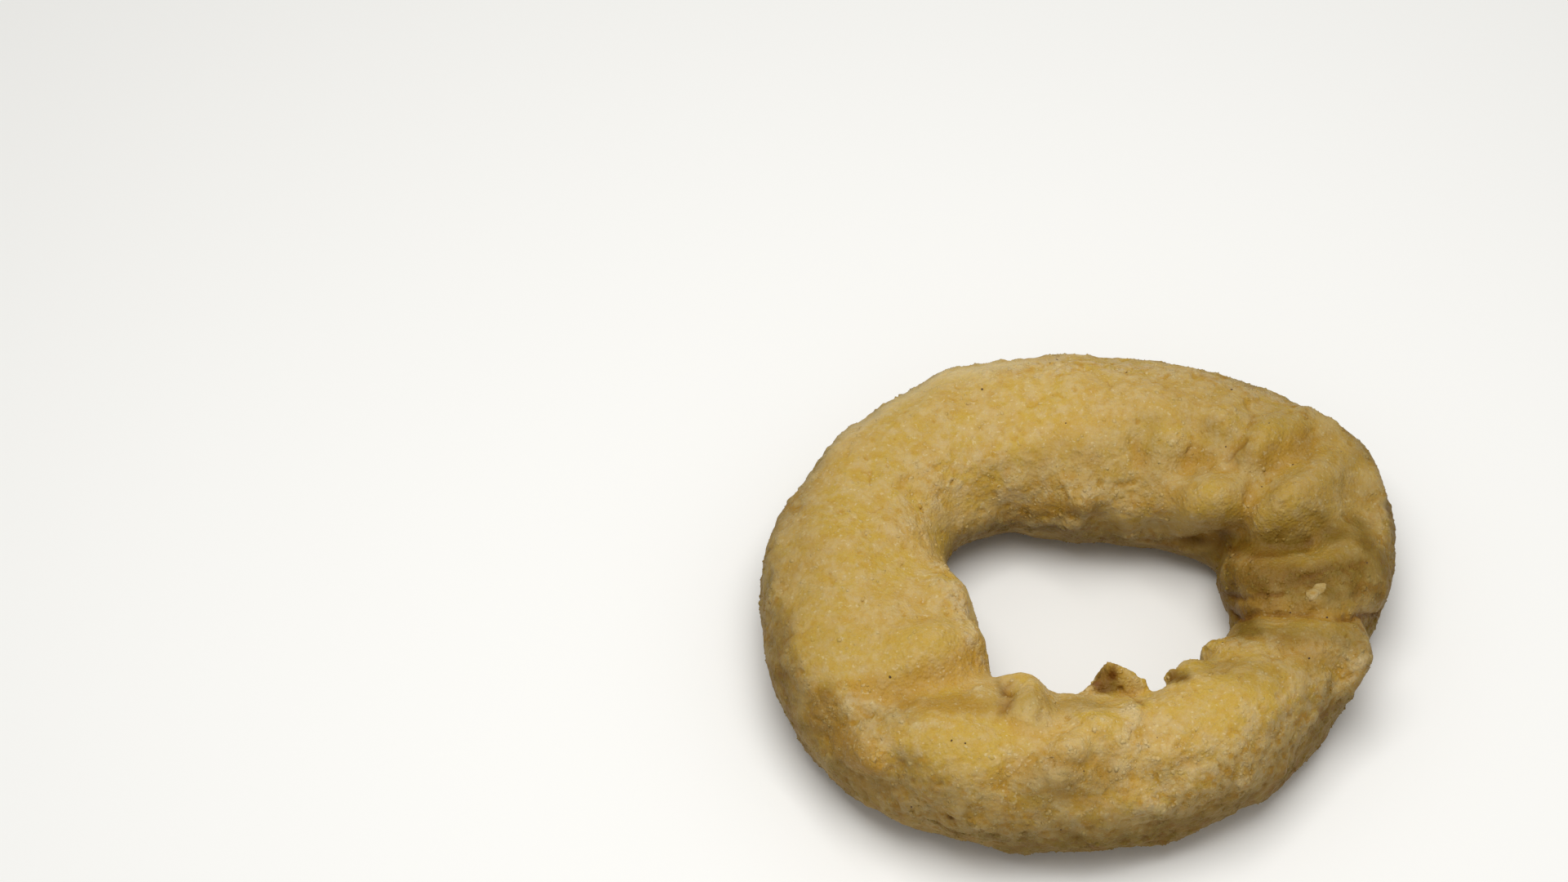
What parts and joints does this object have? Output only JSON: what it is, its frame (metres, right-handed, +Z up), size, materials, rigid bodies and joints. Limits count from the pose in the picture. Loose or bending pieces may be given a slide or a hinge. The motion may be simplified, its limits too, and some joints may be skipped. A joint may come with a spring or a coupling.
{
  "type": "fried calamari ring",
  "caption": "Battered and fried squid ring with an uneven, crumbly golden crust, a deep fold at its side and an open middle.",
  "frame": {"origin": "middle of the ring's footprint, on the surface that it lies on", "axes": "+Z up, away from the surface; +X along the ring's longest side; +Y across it, away from the side with the knob and the torn leaf"},
  "size_m": [0.0762, 0.0666, 0.0199],
  "materials": {
    "fried_batter": "pale golden fried batter, crumbly and floury, with orange-yellow in its pits"
  },
  "bodies": {
    "root": {"calamari_ring": "fried_batter"}
  },
  "joints": []
}
